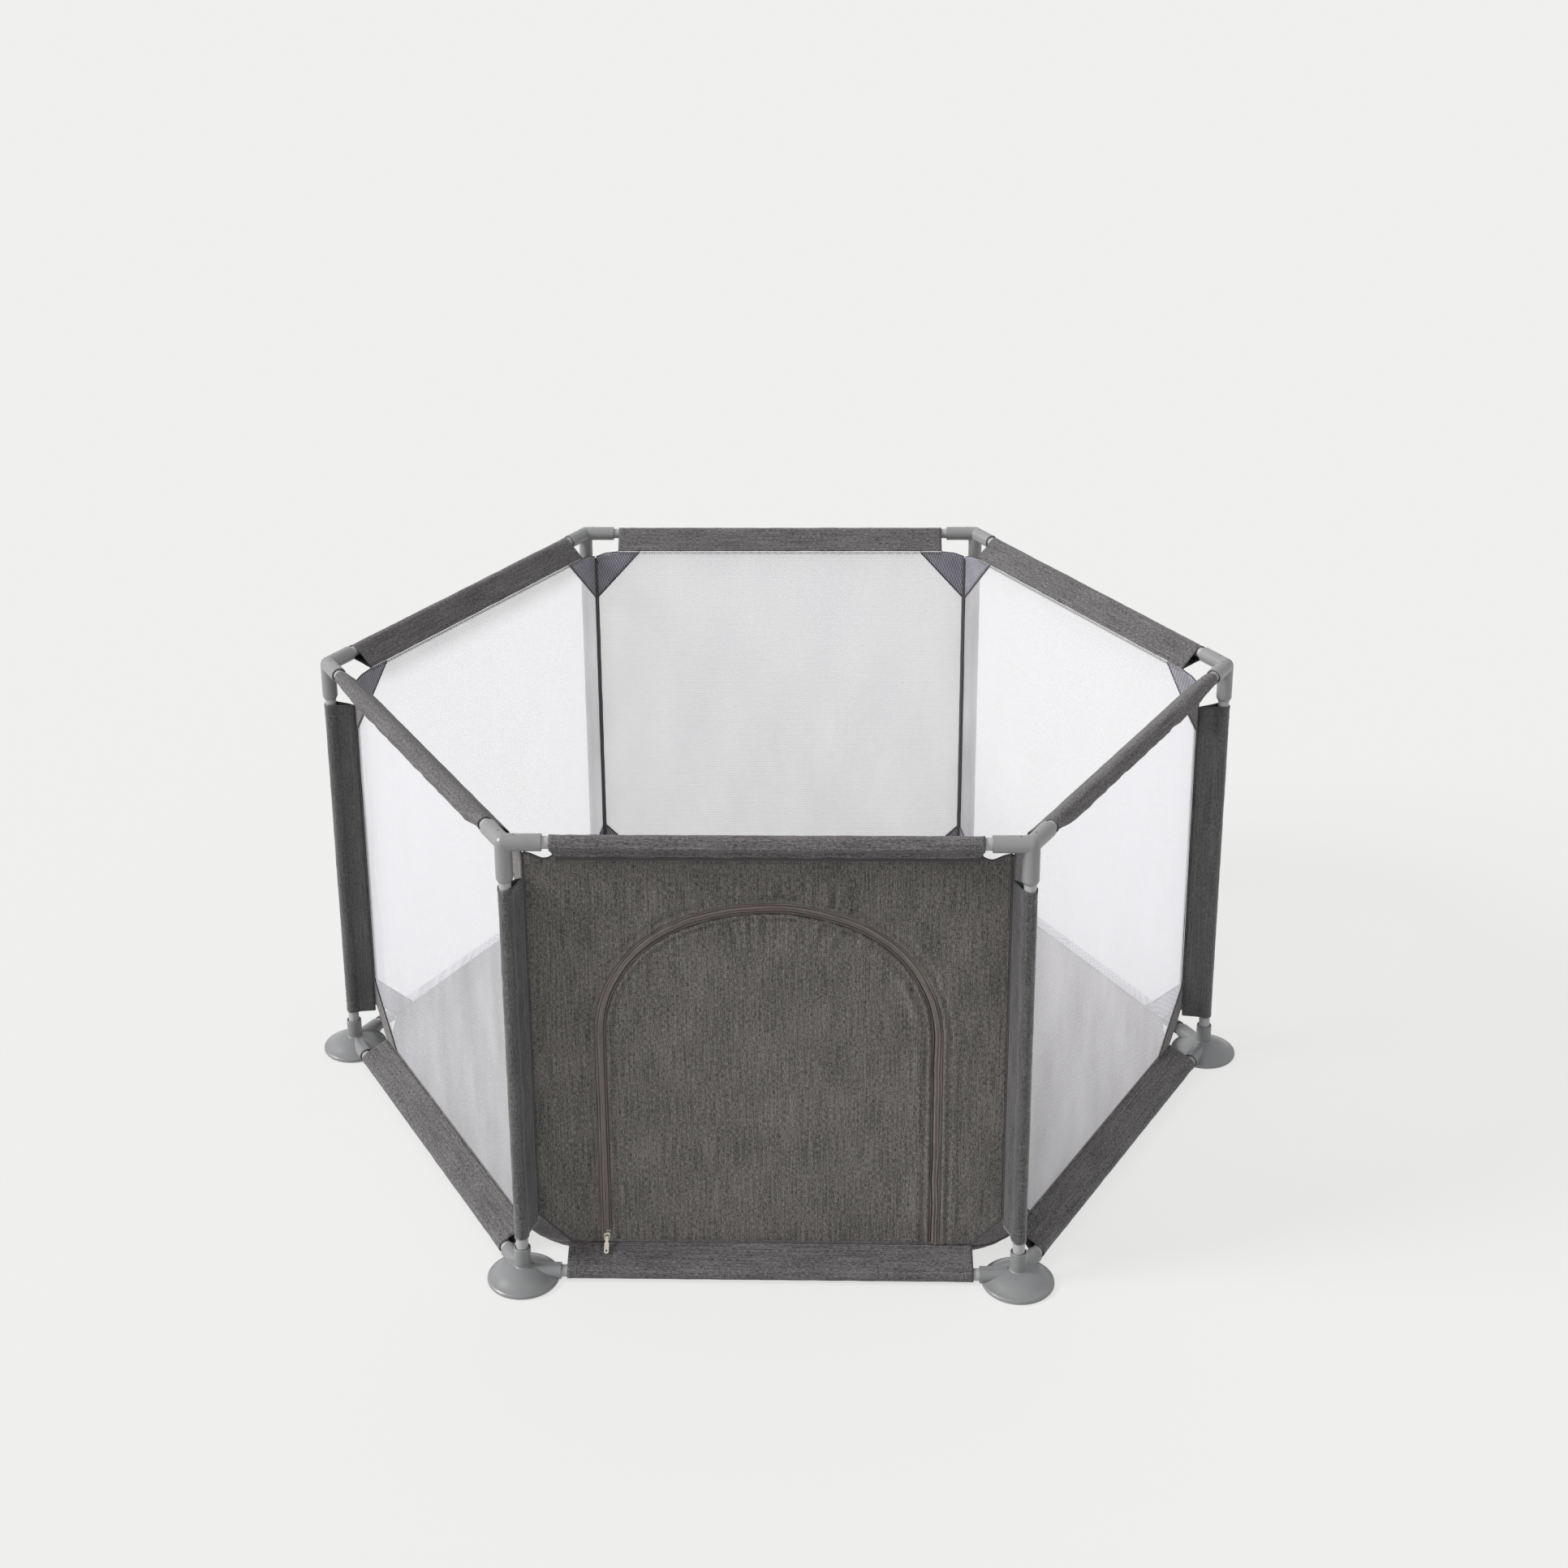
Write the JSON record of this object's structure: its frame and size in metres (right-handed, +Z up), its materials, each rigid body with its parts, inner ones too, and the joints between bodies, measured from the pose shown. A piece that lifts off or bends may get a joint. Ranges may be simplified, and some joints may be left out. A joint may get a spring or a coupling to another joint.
{
  "type": "playpen",
  "caption": "Hexagonal baby playpen: plastic-cornered tube frame on domed feet, with a sewn grey cover, mesh side walls and an arched zip door in the solid front wall.",
  "frame": {"origin": "on the floor, at the middle of the hexagon of posts", "axes": "+Z up; the door wall faces -Y; two posts lie on the X axis"},
  "size_m": [1.396, 1.2218, 0.651],
  "materials": {
    "painted_tube": "satin light grey powder coat",
    "connector_plastic": "satin moulded grey plastic",
    "foot_plastic": "glossy moulded grey plastic",
    "pad_rubber": "matt non-slip rubber",
    "heather_cloth": "heather grey woven polyester with slubs",
    "mesh_cloth": "white knitted see-through mesh",
    "gusset_cloth": "heather grey cloth outside, ribbed mesh inside",
    "zip_tape": "ribbed brown-grey zip tape with nylon coil",
    "zip_metal": "worn nickel plate"
  },
  "bodies": {
    "root": {"bottom_rail_back": "painted_tube", "bottom_rail_front": "painted_tube", "bottom_rail_left_back": "painted_tube", "bottom_rail_left_front": "painted_tube", "bottom_rail_right_back": "painted_tube", "bottom_rail_right_front": "painted_tube", "bottom_sleeves": "heather_cloth", "corner_seams": "heather_cloth", "floor_cloth": "heather_cloth", "foot_back_left": "foot_plastic", "foot_back_right": "foot_plastic", "foot_front_left": "foot_plastic", "foot_front_right": "foot_plastic", "foot_left": "foot_plastic", "foot_pads": "pad_rubber", "foot_right": "foot_plastic", "front_panel": "heather_cloth", "lower_gussets": "gusset_cloth", "mesh_panel_back": "mesh_cloth", "mesh_panel_left_back": "mesh_cloth", "mesh_panel_left_front": "mesh_cloth", "mesh_panel_right_back": "mesh_cloth", "mesh_panel_right_front": "mesh_cloth", "post_back_left": "painted_tube", "post_back_right": "painted_tube", "post_front_left": "painted_tube", "post_front_right": "painted_tube", "post_left": "painted_tube", "post_right": "painted_tube", "post_sleeve_back_left": "heather_cloth", "post_sleeve_back_right": "heather_cloth", "post_sleeve_front_left": "heather_cloth", "post_sleeve_front_right": "heather_cloth", "post_sleeve_left": "heather_cloth", "post_sleeve_right": "heather_cloth", "top_connector_back_left": "connector_plastic", "top_connector_back_right": "connector_plastic", "top_connector_front_left": "connector_plastic", "top_connector_front_right": "connector_plastic", "top_connector_left": "connector_plastic", "top_connector_right": "connector_plastic", "top_rail_back": "painted_tube", "top_rail_front": "painted_tube", "top_rail_left_back": "painted_tube", "top_rail_left_front": "painted_tube", "top_rail_right_back": "painted_tube", "top_rail_right_front": "painted_tube", "top_sleeve_back": "heather_cloth", "top_sleeve_front": "heather_cloth", "top_sleeve_left_back": "heather_cloth", "top_sleeve_left_front": "heather_cloth", "top_sleeve_right_back": "heather_cloth", "top_sleeve_right_front": "heather_cloth", "upper_gussets": "gusset_cloth", "zip_tape_panel": "zip_tape"},
    "door": {"door_flap": "heather_cloth", "zip_tape_door": "zip_tape"},
    "slider": {"zip_slider": "zip_metal"},
    "pull": {"zip_pull": "zip_metal"}
  },
  "joints": [
    {"name": "door_fold", "type": "hinge", "parent": "root", "child": "door", "pos_m": [0, -0.53175, 0.038], "axis": [1, 0, 0], "range_deg": [0, 92]},
    {"name": "zip_slide", "type": "slide", "parent": "root", "child": "slider", "axis": [0, 0, 1], "range_m": [0, 0.29]},
    {"name": "pull_swing", "type": "hinge", "parent": "slider", "child": "pull", "pos_m": [-0.216, -0.5359, 0.045], "axis": [-1, 0, 0], "range_deg": [0, 120]}
  ]
}
